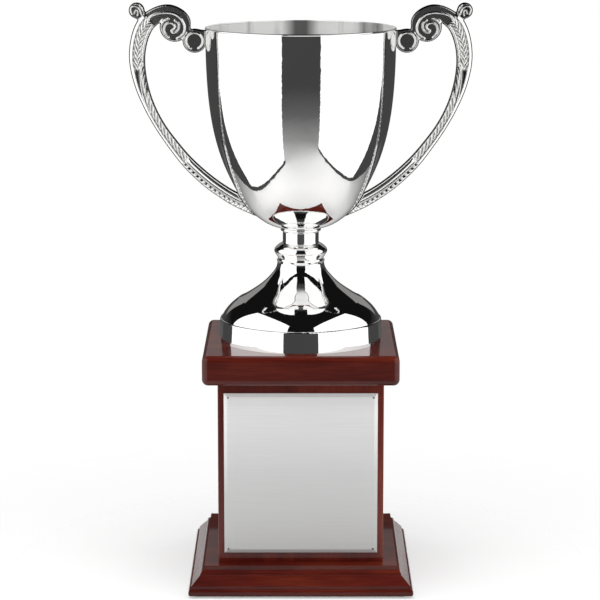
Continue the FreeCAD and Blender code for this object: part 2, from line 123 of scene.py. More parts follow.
def math_node(tree, operation, first, second):
    node = tree.nodes.new("ShaderNodeMath")
    node.operation = operation
    for socket, value in zip(node.inputs, (first, second)):
        if isinstance(value, (int, float)):
            socket.default_value = value
        else:
            tree.links.new(value, socket)
    return node.outputs[0]


def bump(tree, shader, height, strength, distance):
    node = tree.nodes.new("ShaderNodeBump")
    node.inputs["Strength"].default_value = strength
    node.inputs["Distance"].default_value = distance
    tree.links.new(height, node.inputs["Height"])
    tree.links.new(node.outputs["Normal"], shader.inputs["Normal"])


# -------------------------------------------------------------------- materials
POLISHED_ROUGHNESS = (0.015, 0.05)
SATIN_ROUGHNESS = (0.22, 0.40)
SHADOW_SPREAD = 16.0             # per metre from the bowl's middle plane to the ramp of painted shade inside the bowl
INSIDE_WHITENED = 0.72           # how much less metallic the bowl is inside


def polished_tint(tree, haze):
    """Colour of the polished nickel, hardly varied by the haze."""
    return ramp(tree, haze, [(0.3, (0.885, 0.882, 0.874)), (0.7, (0.925, 0.922, 0.915))])


def plated():
    """Bright nickel plate: a mirror with the faintest polishing haze."""
    material, tree, shader = new_material("plated")
    shader.inputs["Metallic"].default_value = 1.0
    haze = stretched_noise(tree, (1, 1, 1), 60, 5)
    tree.links.new(polished_tint(tree, haze), shader.inputs["Base Color"])
    tree.links.new(remap(tree, haze, *POLISHED_ROUGHNESS), shader.inputs["Roughness"])
    return material


def bowl_plate():
    """The bowl: mirror plate outside, satin inside with upright streaks, and painted shade that
    makes the inside darkest at the middle.
    """
    material, tree, shader = new_material("bowl_plate")
    geometry = tree.nodes.new("ShaderNodeNewGeometry")
    flat_place = tree.nodes.new("ShaderNodeVectorMath")
    flat_place.operation = "MULTIPLY"
    flat_place.inputs[1].default_value = (1.0, 1.0, 0.0)
    tree.links.new(geometry.outputs["Position"], flat_place.inputs[0])
    outward = tree.nodes.new("ShaderNodeVectorMath")
    outward.operation = "DOT_PRODUCT"
    tree.links.new(flat_place.outputs["Vector"], outward.inputs[0])
    tree.links.new(geometry.outputs["True Normal"], outward.inputs[1])
    inside = math_node(tree, "LESS_THAN", outward.outputs["Value"], 0.0)
    haze = stretched_noise(tree, (1, 1, 1), 60, 5)
    streaks = stretched_noise(tree, (1, 1, 0.06), 30, 5, 0.4)
    across = tree.nodes.new("ShaderNodeSeparateXYZ")
    tree.links.new(geometry.outputs["Position"], across.inputs["Vector"])
    from_middle = math_node(tree, "ABSOLUTE", across.outputs["X"], 0.0)
    spread = math_node(tree, "MULTIPLY", from_middle, SHADOW_SPREAD)
    # Painted shade: the inside's colour is darkened near the middle plane, standing in for the
    # dark reflection there.
    shadow = ramp(tree, spread, [(0.06, (0.16,) * 3), (0.20, (1.0,) * 3)])
    outer_tint = polished_tint(tree, haze)
    streaked = ramp(tree, streaks, [(0.40, (0.30, 0.30, 0.30)), (0.54, (1.0, 1.0, 0.99))])
    inner_tint = multiply_colours(tree, streaked, shadow)
    tree.links.new(mix_colours(tree, inside, outer_tint, inner_tint), shader.inputs["Base Color"])
    outer_rough = remap(tree, haze, *POLISHED_ROUGHNESS)
    inner_rough = remap(tree, streaks, *SATIN_ROUGHNESS)
    inner_part = math_node(tree, "MULTIPLY", inner_rough, inside)
    rough = math_node(tree, "MAXIMUM", outer_rough, inner_part)
    tree.links.new(rough, shader.inputs["Roughness"])
    whitened = math_node(tree, "MULTIPLY", inside, INSIDE_WHITENED)
    metallic = math_node(tree, "SUBTRACT", 1.0, whitened)
    tree.links.new(metallic, shader.inputs["Metallic"])
    brushed = math_node(tree, "MULTIPLY", stretched_noise(tree, (1, 1, 9), 260, 3), inside)
    bump(tree, shader, brushed, 0.25, 0.0002)
    return material


def plated_casting():
    """Plate over a casting: bright on the high parts, with painted shade darkening the sunk
    ground.
    """
    material, tree, shader = new_material("plated_casting")
    shader.inputs["Metallic"].default_value = 1.0
    raised = tree.nodes.new("ShaderNodeAttribute")
    raised.attribute_name = "raised"
    grain = stretched_noise(tree, (1, 1, 1), 900, 3)
    bright = ramp(tree, grain, [(0.3, (0.86, 0.86, 0.85)), (0.7, (0.94, 0.94, 0.93))])
    # Painted shade: where the raised share is low the plate's colour is tinted near black.
    dark = ramp(tree, grain, [(0.3, (0.10, 0.10, 0.10)), (0.7, (0.18, 0.18, 0.18))])
    tint = mix_colours(tree, raised.outputs["Fac"], dark, bright)
    tree.links.new(tint, shader.inputs["Base Color"])
    tree.links.new(remap(tree, grain, 0.06, 0.14), shader.inputs["Roughness"])
    bump(tree, shader, grain, 0.12, 0.0001)
    return material


def mahogany(name, along, redness):
    """French-polished mahogany; along is the grain's axis, 0 for X, 1 for Y, 2 for Z."""
    material, tree, shader = new_material(name)
    coarse = [7.0, 7.0, 7.0]
    fine = [40.0, 40.0, 40.0]
    coarse[along] = 1.2
    fine[along] = 1.6
    figure = stretched_noise(tree, coarse, 4.0, 5, 1.4)
    pores = stretched_noise(tree, fine, 28.0, 6, 0.3)
    tones = [
        (0.30, (0.060, 0.0060, 0.0040)),
        (0.50, (0.092, 0.0100, 0.0058)),
        (0.74, (0.150, 0.022, 0.009)),
    ]
    stops = [(place, tuple(redness * level for level in colour)) for place, colour in tones]
    ground = ramp(tree, figure, stops)
    dark = ramp(tree, pores, [(0.42, (0.76, 0.70, 0.68)), (0.58, (1.0, 1.0, 1.0))])
    tree.links.new(multiply_colours(tree, ground, dark), shader.inputs["Base Color"])
    tree.links.new(remap(tree, pores, 0.42, 0.30), shader.inputs["Roughness"])
    shader.inputs["Specular IOR Level"].default_value = 0.1
    shader.inputs["Coat Weight"].default_value = 1.0
    shader.inputs["Coat Roughness"].default_value = 0.03
    shader.inputs["Coat IOR"].default_value = 1.34
    bump(tree, shader, pores, 0.05, 0.0002)
    return material


def inner_wood():
    """Unpolished hardwood of the blocks and the plate inside the column."""
    material, tree, shader = new_material("inner_wood")
    grain = stretched_noise(tree, (30, 30, 3), 12, 5, 0.5)
    tint = ramp(tree, grain, [(0.35, (0.28, 0.15, 0.07)), (0.65, (0.48, 0.29, 0.15))])
    tree.links.new(tint, shader.inputs["Base Color"])
    tree.links.new(remap(tree, grain, 0.7, 0.55), shader.inputs["Roughness"])
    bump(tree, shader, grain, 0.2, 0.0003)
    return material


def plaque_metal():
    """Satin silver plate, fine brushed across, with painted shade that darkens it towards its
    foot.
    """
    material, tree, shader = new_material("plaque_metal")
    shader.inputs["Metallic"].default_value = 0.12
    lines = stretched_noise(tree, (0.5, 1, 60), 40, 4)
    brushed = ramp(tree, lines, [(0.3, (0.94, 0.94, 0.94)), (0.7, (1.0, 1.0, 1.0))])
    place = tree.nodes.new("ShaderNodeTexCoord")
    rise = tree.nodes.new("ShaderNodeSeparateXYZ")
    tree.links.new(place.outputs["Generated"], rise.inputs["Vector"])
    # Painted shade: the plate's colour is darkened towards its foot and is lightest at the top.
    upward = [(0.0, (0.54, 0.54, 0.53)), (0.5, (0.72, 0.72, 0.72)), (0.9, (1.0, 1.0, 1.0))]
    painted_shade = ramp(tree, rise.outputs["Z"], upward)
    tint = multiply_colours(tree, painted_shade, brushed)
    tree.links.new(tint, shader.inputs["Base Color"])
    tree.links.new(remap(tree, lines, 0.16, 0.24), shader.inputs["Roughness"])
    bump(tree, shader, lines, 0.04, 0.0001)
    return material


def speckled(name, low, high, metallic, rough, scale):
    """A plain technical finish that varies finely between two colours."""
    material, tree, shader = new_material(name)
    shader.inputs["Metallic"].default_value = metallic
    grain = stretched_noise(tree, (1, 1, 1), scale, 4)
    tree.links.new(ramp(tree, grain, [(0.3, low), (0.7, high)]), shader.inputs["Base Color"])
    tree.links.new(remap(tree, grain, rough, rough + 0.12), shader.inputs["Roughness"])
    bump(tree, shader, grain, 0.2, 0.0002)
    return material


def paint_nodes():
    """Gives every CAD node its finish, by the record's material slot."""
    finishes = {
        "plated": plated(),
        "plated_casting": plated_casting(),
        "plaque_metal": plaque_metal(),
        "pin_metal": speckled("pin_metal", (0.02,) * 3, (0.07,) * 3, 1.0, 0.3, 2000),
        "polished_wood": mahogany("polished_wood", 0, 1.0),
        "column_wood": mahogany("column_wood", 2, 1.35),
        "inner_wood": inner_wood(),
        "felt": speckled("felt", (0.004, 0.016, 0.009), (0.012, 0.04, 0.024), 0.0, 0.85, 900),
        "fastener_steel": speckled(
            "fastener_steel", (0.42, 0.42, 0.41), (0.62, 0.62, 0.6), 1.0, 0.25, 300
        ),
        "seal_rubber": speckled("seal_rubber", (0.012,) * 3, (0.03,) * 3, 0.0, 0.6, 400),
    }
    slots = {part["node"]: part["material_slot"] for part in frame["record"]["subparts"]}
    for name, node in nodes.items():
        for place in node.material_slots:
            place.material = finishes[slots[name]]
    for place in nodes["bowl"].material_slots:
        place.material = bowl_plate()
    return finishes


finishes = paint_nodes()


def mesh_object(name, points, faces, material):
    mesh = bpy.data.meshes.new(name)
    mesh.from_pydata([tuple(point) for point in points], [], faces)
    mesh.update()
    thing = bpy.data.objects.new(name, mesh)
    thing.data.materials.append(material)
    bpy.context.scene.collection.objects.link(thing)
    return thing


# --------------------------------------------------------------- carved handles
# Laid out in millimetres as reach outward from the bowl's wall at the rim and rise
# above a level a little below the rim, the way the casting's pattern would be cut.
LEVEL_DROP = 1.4                 # from the top of the rim down to that level
BEAD_REACH = 0.233               # how far the rim's bead stands proud of the wall
BOWL_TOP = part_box("bowl")[1]
LEVEL = BOWL_TOP.z / MM - LEVEL_DROP
WALL = BOWL_TOP.x / MM - BEAD_REACH
LANDING = (37.51, 248.0)         # where the band meets the lower wall
HALF_THICKNESS = 3.2
EDGE_HALF = 0.7                  # half thickness of the casting at its outline
ARRIS_HALF = 2.0                 # and at the top of the steep arris just inside it
ARRIS_RUN = 0.6
EDGE_RUN = 0.8                   # how far in from the arris the rounded edge reaches
GROUND = 2.1                     # half thickness of the sunk ground between the carving
SUNK_IN_WALL = 0.45              # the casting ends this far inside the bowl's sheet
RAISED_RUN = 0.45                # relief above the ground that is fully bright, free of the painted shade
SCROLL_GROUND = 0.7              # brightness of the ground between the scrolls' lines, a lighter painted shade
SCROLL_RISE = 0.3                # and what the lines themselves add to it
MESH_STEP = 0.27                 # spacing of the carved mesh's points
RING_DEPTHS = (0.12, 0.30, 0.55) # rows of points just inside the outline
RING_ERROR = 0.03
LATTICE_DEPTH = 0.75             # and where the lattice begins
LATTICE_MARGIN = 8
LATTICE_TOP = (52.0, 20.0)       # reach and rise past the casting's highest corner
COARSE_CELL = 4.0                # cells that sort out where the lattice is needed
CELL_REACH = 4.5
CHUNK = 4000                     # points measured against a path at a time
MERGE_DISTANCE = 1e-5            # points closer than this are one in the triangulation
OUTLINE_SLACK = 0.004            # a triangle counts as inside when its middle is this deep

SCROLL = (19.7, 1.6, 9.7)        # reach, rise, radius
ROUNDEL = (6.9, -7.4, 7.8)
CURL = (44.2, 12.1, 5.09)
CURL_NECK = ((43.6, 11.4), (40.4, 7.6), 3.3)
LUG_CENTRE = (2.0, -2.9)         # block between the roundel and the bowl
LUG_HALF_SIZE = (3.0, 2.5)

# Widths of the soft joins where these shapes run into each other.
SCROLL_BLEND = 0.8
CURL_NECK_BLEND = 1.5
CURL_BLEND = 1.2
LUG_BLEND = 1.2
ROUNDEL_BLEND = 1.0

# Band from the lower wall up: outward bow, share of the way down, half width.
BAND = [
    (-8.0, 1.04, 5.0),
    (2.7, 0.995, 4.7),
    (11.4, 0.945, 4.4),
    (20.9, 0.872, 4.3),
    (30.3, 0.774, 4.0),
    (37.2, 0.672, 3.6),
    (43.1, 0.565, 3.35),
    (47.33, 0.448, 3.6),
    (49.41, 0.323, 4.35),
    (48.83, 0.192, 5.1),
    (45.0, 0.076, 5.5),
]
# The band's top, over the scroll: reach, rise, half width.
ARCH = [
    (39.0, 2.4, 5.7),
    (32.0, 8.6, 5.3),
    (24.5, 11.3, 4.7),
    (18.0, 9.6, 4.4),
    (13.6, 5.8, 3.9),
    (12.2, 0.5, 2.8),
]

# Raised lines of the scrollwork: reach and rise of the points that each runs through.
MAIN_FILLET = [
    (37.2, 6.0), (35.4, 8.0), (32.4, 9.6), (28.1, 10.6), (23.5, 10.7), (19.0, 9.6),
    (15.3, 6.6), (13.2, 2.2), (13.6, -1.8), (15.7, -4.4), (18.1, -5.8),
]
VOLUTE_FILLET = [
    (23.5, -5.2), (26.1, -2.0), (26.4, 0.8), (25.2, 3.3), (22.6, 4.3),
    (20.1, 3.3), (19.3, 1.2), (20.6, -0.2), (21.6, -0.8), (21.0, -1.8),
    (19.7, -2.0), (17.8, -0.8), (16.8, 1.6), (17.2, 4.2), (19.4, 5.9),
]
RIM_FILLET = [
    (23.4, 6.9), (26.6, 5.4), (28.4, 2.6), (28.4, -0.8),
    (26.8, -4.0), (23.6, -6.5), (19.7, -7.3), (15.9, -6.4),
]
CURL_FILLET = [
    (47.0, 9.8), (48.0, 12.4), (47.2, 14.3), (45.0, 15.0), (42.8, 13.6), (41.6, 10.8), (39.9, 8.4),
]
CURL_HOOK = [(45.6, 10.2), (45.0, 11.9), (43.9, 12.3), (43.3, 11.2), (43.5, 9.0)]
CURL_BACK = [(42.2, 16.3), (40.3, 13.6), (39.0, 11.2)]
INNER_FILLET = [(27.6, 5.6), (30.8, 3.2), (33.6, -0.4), (36.0, -5.0)]
SCROLL_LINE = (0.56, 0.80)       # half width and height of the scroll's raised lines
CURL_LINE = (0.55, 0.75)
INNER_LINE = (0.5, 0.6)
RING_RADIUS = 5.3                # raised ring on the roundel, open at its foot
RING_LINE = (0.54, 0.80)
RING_TURN = np.radians(np.arange(-65, 246, 4))
ARCH_FALL = 1.3                  # how far the arch's face falls to the outline
ARCH_FALL_RUN = 4.8
ARCH_LINES = (1.2, 2.7)          # depths of the two fine lines that follow the arch

# Stretches of the band, by length along it from the lower wall.
ROPE_START = 57.0
ROPE_END = 107.0
EAR_START = 110.0
EAR_FULL = 126.0
EAR_END = 158.0
BLADE_TIPS = [134.0, 130.0, 125.5, 121.0, 115.5, 109.0]
BLADE_LENGTHS = [36.0, 33.0, 30.0, 26.0, 20.0, 13.0]
BLADE_ROOT = -0.98               # where a blade leaves the inner edge, from -1 to 1
BLADE_SWEEP = 1.5                # and how far it crosses towards the outer one
BLADE_HEIGHT = 1.05
LEAF_PITCH = 3.6
LEAF_SLANT = 3.0
GRAIN_SLANT = 1.8
ROPE_PITCH = 4.15
ROPE_SLANT = 2.0
STROKE_RISE = 0.68               # shares of a stroke's pitch
STROKE_DROP = 0.32

# Rails along the band: centre and half width across it from -1 to 1, then height.
LOWER_RAIL = (-0.47, 0.42, 0.95)
LOWER_BEAD = (0.12, 0.12, 0.7)
EAR_RAIL = (-0.68, 0.10, 0.7)
EAR_EDGE_RAIL = (-0.90, 0.12, 0.6)


def smooth_path(points, step=0.25):
    """Dense points on a smooth curve through rows of numbers, the first two a place."""
    points = np.asarray(points, float)
    padded = np.vstack([2 * points[0] - points[1], points, 2 * points[-1] - points[-2]])
    rows = []
    for before, start, end, after in zip(padded, padded[1:], padded[2:], padded[3:]):
        count = max(2, int(np.linalg.norm((end - start)[:2]) / step))
        t = np.linspace(0, 1, count, endpoint=False)[:, None]
        linear = (end - before) * t
        square = (2 * before - 5 * start + 4 * end - after) * t**2
        cube = (3 * start - before - 3 * end + after) * t**3
        rows.append(0.5 * (2 * start + linear + square + cube))
    rows.append(points[-1:])
    return np.vstack(rows)


def nearest(points, path):
    """Distance from each point to the path and the index of the path's nearest point."""
    distance = np.empty(len(points))
    index = np.empty(len(points), int)
    for start in range(0, len(points), CHUNK):
        part = slice(start, start + CHUNK)
        gap = points[part, None, :] - path[None, :, :2]
        square = (gap**2).sum(2)
        index[part] = square.argmin(1)
        distance[part] = np.sqrt(square.min(1))
    return distance, index


def station_rows():
    rows = []
    for bow, down, half_width in BAND:
        reach = down * (LANDING[0] - WALL) + bow
        rows.append((reach, down * (LANDING[1] - LEVEL), half_width))
    return rows + ARCH


band_path = smooth_path(station_rows())
band_steps = np.linalg.norm(np.diff(band_path[:, :2], axis=0), axis=1)
band_length = np.concatenate([[0.0], np.cumsum(band_steps)])
band_tangent = np.gradient(band_path[:, :2], axis=0)
band_tangent /= np.linalg.norm(band_tangent, axis=1)[:, None]


def wall_profile():
    """The bowl's outside radius against height, in millimetres, read from the frame."""
    mesh = nodes["bowl"].data
    place = np.empty(len(mesh.vertices) * 3)
    mesh.vertices.foreach_get("co", place)
    place = place.reshape(-1, 3) / MM
    radius = np.hypot(place[:, 0], place[:, 1])
    level = np.round(place[:, 2]).astype(int)
    heights = np.arange(level.min(), level.max() + 1)
    found = [radius[level == height].max(initial=0.0) for height in heights]
    keep = [k for k, value in enumerate(found) if value > 0]
    return heights[keep], np.array(found)[keep]


wall_heights, wall_radii = wall_profile()


def smooth_union(first, second, blend):
    share = np.clip(0.5 + 0.5 * (second - first) / blend, 0, 1)
    return second + (first - second) * share - blend * share * (1 - share)


def disc_distance(points, disc):
    return np.hypot(points[:, 0] - disc[0], points[:, 1] - disc[1]) - disc[2]


def outline_distance(points):
    """Signed distance to the casting's outline in reach and rise, negative inside."""
    distance, index = nearest(points, band_path)
    shape = distance - band_path[index, 2]
    shape = smooth_union(shape, disc_distance(points, SCROLL), SCROLL_BLEND)
    start, end, half_width = (np.array(value) for value in CURL_NECK)
    share = np.clip((points - start) @ (end - start) / ((end - start) @ (end - start)), 0, 1)
    neck = np.linalg.norm(points - start - share[:, None] * (end - start), axis=1) - half_width
    curl = smooth_union(disc_distance(points, CURL), neck, CURL_NECK_BLEND)
    shape = smooth_union(shape, curl, CURL_BLEND)
    past = np.abs(points - LUG_CENTRE) - LUG_HALF_SIZE
    lug = np.linalg.norm(np.maximum(past, 0), axis=1) + np.minimum(past.max(1), 0)
    roundel = smooth_union(disc_distance(points, ROUNDEL), lug, LUG_BLEND)
    shape = smooth_union(shape, roundel, ROUNDEL_BLEND)
    wall = np.interp(points[:, 1] + LEVEL, wall_heights, wall_radii) - SUNK_IN_WALL
    return np.maximum(shape, wall - WALL - points[:, 0])


def outline_slope(points, reach=0.05):
    right = outline_distance(points + (reach, 0)) - outline_distance(points - (reach, 0))
    up = outline_distance(points + (0, reach)) - outline_distance(points - (0, reach))
    slope = np.stack([right, up], 1)
    return slope / np.maximum(np.linalg.norm(slope, axis=1), 1e-9)[:, None]


def onto_level(points, level, rounds=2):
    """Moves points to where the signed distance equals level."""
    for _ in range(rounds):
        points = points - outline_slope(points) * (outline_distance(points) - level)[:, None]
    return points


def thinned(points, gap):
    """Drops points that share a cell of the given size with an earlier one."""
    cells = np.round(points / gap).astype(int)
    first = np.unique(cells, axis=0, return_index=True)[1]
    return points[np.sort(first)]


def lattice(step):
    """Triangular lattice over the casting's box, thinned to what lies near or in it."""
    low = band_path[:, :2].min(0) - LATTICE_MARGIN
    rows = np.arange(low[1], LATTICE_TOP[1], step * math.sqrt(0.75))
    columns = np.arange(low[0], LATTICE_TOP[0], step)
    reach, rise = np.meshgrid(columns, rows)
    reach[1::2] += step / 2
    points = np.stack([reach.ravel(), rise.ravel()], 1)
    coarse = np.round(points / COARSE_CELL).astype(int)
    cells, member = np.unique(coarse, axis=0, return_inverse=True)
    near = outline_distance(cells * COARSE_CELL) < CELL_REACH
    return points[near[member.ravel()]]


def ridge(points, path, half_width, height):
    """A raised line with a rounded crest along the path."""
    distance = nearest(points, path)[0]
    return height * np.clip(1 - (distance / half_width) ** 1.5, 0, None)


def rail(across, centre, half_width, height):
    """A convex rail, its place given across the band from -1 inside to 1 outside."""
    return height * np.sqrt(np.clip(1 - ((across - centre) / half_width) ** 2, 0, None))


def stroke(phase):
    """Overlapping strokes: a long face that rises to 1, then a short drop to 0."""
    share = phase - np.floor(phase)
    return np.minimum(share / STROKE_RISE, (1 - share) / STROKE_DROP)


def step_up(value, start, end):
    share = np.clip((value - start) / (end - start), 0, 1)
    return share * share * (3 - 2 * share)


def outer_bevel(across, start, height):
    """A smooth face that falls from a crest at start to the outer edge."""
    share = np.clip((across - start) / (1 - start), 0, 1)
    crest = np.clip((across - start + 0.05) / 0.05, 0, 1)
    return crest * height * (1 - 0.85 * share)


def lower_moulding(along, across):
    """Next to the wall: a broad rail, a bead line and a row of small leaves."""
    relief = np.maximum(rail(across, *LOWER_RAIL), rail(across, *LOWER_BEAD))
    leaf = stroke((along - LEAF_SLANT * across) / LEAF_PITCH)
    row = np.clip(1 - np.abs((across - 0.64) / 0.40) ** 2.5, 0, None)
    return np.maximum(relief, row * (0.15 + 0.85 * leaf))


def rope_moulding(along, across, half_width):
    """Slanting lobes on the inner side and a plain rail outside them."""
    offset = across * half_width
    lobe = stroke((along + ROPE_SLANT * offset) / ROPE_PITCH)
    row = np.clip(1 - np.abs((across + 0.34) / 0.70) ** 5, 0, None)
    return np.maximum(row * (0.1 + lobe), outer_bevel(across, 0.44, 1.05))


def ear_moulding(along, across, half_width):
    """An ear of wheat between plain rails, its grains set in a V."""
    grown = step_up(along, EAR_START, EAR_FULL)
    middle = 0.42 - 0.47 * grown
    spread = 0.16 + 0.42 * grown
    offset = (across - middle) * half_width
    grain = stroke((along - GRAIN_SLANT * np.abs(offset)) / LEAF_PITCH)
    row = np.clip(1 - np.abs((across - middle) / spread) ** 4, 0, None)
    relief = row * (0.05 + 0.95 * grain)
    relief = np.maximum(relief, outer_bevel(across, 0.56, 0.95))
    inner = np.maximum(rail(across, *EAR_EDGE_RAIL), rail(across, *EAR_RAIL))
    return np.maximum(relief, inner * step_up(along, EAR_FULL - 1, EAR_FULL + 2))


def blades(along, across, half_width):
    """Long pointed leaves that leave the inner edge and run down to the outer rail."""
    relief = np.zeros_like(along)
    for tip, length in zip(BLADE_TIPS, BLADE_LENGTHS):
        down = (tip - along) / length
        inside = (down > 0) & (down < 1)
        down = np.clip(down, 0, 1)
        middle = BLADE_ROOT + BLADE_SWEEP * down**0.62
        width = 0.12 + 0.78 * np.minimum(down * 4, 1) * (1 - 0.35 * down)
        offset = np.abs((across - middle) * half_width / width)
        blade = BLADE_HEIGHT * np.clip(1 - offset**1.3, 0, None)
        relief = np.maximum(relief, blade * inside)
    return relief


def scroll_moulding(points, depth, along, across):
    """Rails round the arch and the raised lines of the volute, roundel and curl."""
    outer = (across > 0.0) & (along > EAR_END - 3)
    fall = -ARCH_FALL * (1 - np.clip(depth / ARCH_FALL_RUN, 0, 1))
    first, second = ARCH_LINES
    off_line = np.minimum(np.abs(depth - first), np.abs(depth - second))
    relief = np.where(outer, fall + 0.5 * np.clip(1 - off_line / 0.4, 0, None), 0)
    for path in (MAIN_FILLET, VOLUTE_FILLET, RIM_FILLET):
        relief = np.maximum(relief, ridge(points, smooth_path(path), *SCROLL_LINE))
    for path in (CURL_FILLET, CURL_HOOK, CURL_BACK):
        relief = np.maximum(relief, ridge(points, smooth_path(path), *CURL_LINE))
    relief = np.maximum(relief, ridge(points, smooth_path(INNER_FILLET), *INNER_LINE))
    reach = ROUNDEL[0] + RING_RADIUS * np.cos(RING_TURN)
    rise = ROUNDEL[1] + RING_RADIUS * np.sin(RING_TURN)
    ring = smooth_path(np.stack([reach, rise], 1))
    return np.maximum(relief, ridge(points, ring, *RING_LINE))


def rim_line(depth):
    """A fine raised line that follows the outline of the discs."""
    return 0.5 * np.clip(1 - np.abs(depth - 0.8) / 0.45, 0, None)


def half_heights(points):
    """Half thickness of the casting at each point, and how raised it is from 0 to 1, which sets
    its painted shade.
    """
    depth = np.maximum(-outline_distance(points), 0)
    index = nearest(points, band_path)[1]
    tangent = band_tangent[index]
    gap = points - band_path[index, :2]
    half_width = band_path[index, 2]
    along = band_length[index] + (gap * tangent).sum(1)
    across = (gap[:, 0] * tangent[:, 1] - gap[:, 1] * tangent[:, 0]) / half_width

    lower = 1 - step_up(along, ROPE_START - 3, ROPE_START + 3)
    relief = lower_moulding(along, across) * lower
    past_rope = step_up(along, ROPE_END - 2, ROPE_END + 4)
    rope = step_up(along, ROPE_START - 3, ROPE_START + 1) * (1 - past_rope)
    relief = np.maximum(relief, rope_moulding(along, across, half_width) * rope)
    past_ear = step_up(along, EAR_END - 2, EAR_END + 2)
    ear = step_up(along, EAR_FULL - 3, EAR_FULL + 1) * (1 - past_ear)
    relief = np.maximum(relief, ear_moulding(along, across, half_width) * ear)
    between = (along > ROPE_END - 4) & (along < EAR_FULL + 1)
    relief = np.maximum(relief, outer_bevel(across, 0.50, 1.0) * between)
    relief = np.maximum(relief, blades(along, across, half_width))
    scrolls = scroll_moulding(points, depth, along, across)
    on_ear = relief * (along < EAR_END + 2)
    beyond = np.where(on_ear > 0.05, np.maximum(on_ear, scrolls), scrolls)
    relief = np.where(along > EAR_END - 3, beyond, relief)
    in_discs = np.minimum(disc_distance(points, SCROLL), disc_distance(points, ROUNDEL)) < 0
    outer_arch = (across > 0.0) & (along > EAR_END)
    relief = np.where(in_discs & ~outer_arch, np.maximum(scrolls, rim_line(depth)), relief)
    relief = np.where(disc_distance(points, CURL) < 0, np.maximum(scrolls, 0), relief)

    arris = EDGE_HALF + (ARRIS_HALF - EDGE_HALF) * np.minimum(depth / ARRIS_RUN, 1)
    inward = np.clip((depth - ARRIS_RUN) / EDGE_RUN, 0, 1)
    edge = arris + (HALF_THICKNESS - ARRIS_HALF) * np.sqrt(1 - (1 - inward) ** 2)
    height = np.minimum(np.minimum(GROUND + relief, edge), HALF_THICKNESS)
    # Painted shade: this raised share darkens the plate's colour in the sunk ground.
    raised = np.clip((height - GROUND) / RAISED_RUN, 0, 1)
    on_scrolls = ((along > EAR_END) | in_discs) & (depth > ARRIS_RUN)
    return height, np.where(on_scrolls, SCROLL_GROUND + SCROLL_RISE * raised, raised)


def casting_points():
    """Points for the casting's face: its outline, three rings just inside, a lattice."""
    grid = lattice(MESH_STEP)
    distance = outline_distance(grid)
    near = grid[np.abs(distance) < 1.5 * MESH_STEP]
    outline = thinned(onto_level(near, 0.0, 3), MESH_STEP * 0.62)
    layers = [outline]
    for depth in RING_DEPTHS:
        ring = onto_level(outline, -depth)
        error = np.abs(outline_distance(ring) + depth)
        layers.append(thinned(ring[error < RING_ERROR], MESH_STEP * 0.6))
    layers.append(grid[distance < -LATTICE_DEPTH])
    return np.vstack(layers)


def casting_triangles(points):
    flat = [Vector(point) for point in points]
    found = delaunay_2d_cdt(flat, [], [], 0, MERGE_DISTANCE)
    places = np.array([tuple(place) for place in found[0]])
    triangles = np.array(found[2])
    centres = places[triangles].mean(1)
    inside = outline_distance(centres) < -OUTLINE_SLACK
    triangles = triangles[inside]
    used, renumbered = np.unique(triangles, return_inverse=True)
    return places[used], renumbered.reshape(-1, 3)


def border_edges(triangles):
    """Edges that only one triangle has, in that triangle's direction."""
    edges = np.vstack([triangles[:, [0, 1]], triangles[:, [1, 2]], triangles[:, [2, 0]]])
    keys = np.sort(edges, axis=1)
    first, count = np.unique(keys, axis=0, return_index=True, return_counts=True)[1:]
    return edges[first[count == 1]]


def handle_mesh(name, side, face_points, triangles, heights, raised):
    """The whole casting on one side of the bowl; side is -1 or 1."""
    count = len(face_points)
    x = side * (face_points[:, 0] + WALL) * MM
    z = (face_points[:, 1] + LEVEL) * MM
    y = heights * MM
    front = np.stack([x, -y, z], 1)
    back = np.stack([x, y, z], 1)
    border = border_edges(triangles)
    walls = np.stack([border[:, 1], border[:, 0], border[:, 0] + count, border[:, 1] + count], 1)
    if side < 0:
        triangles = triangles[:, ::-1]
        walls = walls[:, ::-1]
    faces = triangles.tolist() + (triangles[:, ::-1] + count).tolist() + walls.tolist()
    handle = mesh_object(name, np.vstack([front, back]), faces, finishes["plated_casting"])
    # The raised share carries the painted shade to the plated_casting finish.
    level = handle.data.attributes.new("raised", "FLOAT", "POINT")
    level.data.foreach_set("value", np.concatenate([raised, raised]).astype(np.float32))
    handle.data.shade_smooth()
    return handle


def make_handles():
    """Both castings, from one carved face mirrored front to back and side to side."""
    face_points, triangles = casting_triangles(casting_points())
    heights, raised = half_heights(face_points)
    for side, node in ((-1, "handle_left"), (1, "handle_right")):
        handle = handle_mesh(node + "_casting", side, face_points, triangles, heights, raised)
        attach(handle, "root")
        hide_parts(node)


make_handles()


# ----------------------------------------------------------------------- studio
def emissive(name, colour, strength):
    material = bpy.data.materials.new(name)
    material.use_nodes = True
    tree = material.node_tree
    tree.nodes.clear()
    output = tree.nodes.new("ShaderNodeOutputMaterial")
    glow = tree.nodes.new("ShaderNodeEmission")
    glow.inputs["Color"].default_value = (*colour, 1.0)
    glow.inputs["Strength"].default_value = strength
    tree.links.new(glow.outputs["Emission"], output.inputs["Surface"])
    return material


# Softboxes, flat panels standing on either side: height of each row of corners, and
# where its front and back corners stand, X outward and Y away from the camera.
LEFT_SOFTBOX = [
    (0.010, (0.143, -0.324), (0.320, 0.064)),
    (0.300, (0.135, -0.352), (0.352, 0.142)),
    (0.640, (0.135, -0.352), (0.352, 0.142)),
]
RIGHT_SOFTBOX = [
    (0.010, (0.191, -0.433), (0.356, 0.050)),
    (0.300, (0.166, -0.410), (0.370, 0.142)),
    (0.640, (0.166, -0.410), (0.370, 0.142)),
]
FLOOR_GAP = 0.008                # strip left dark between a softbox and the floor
SOFTBOX_STRENGTH = 1.25

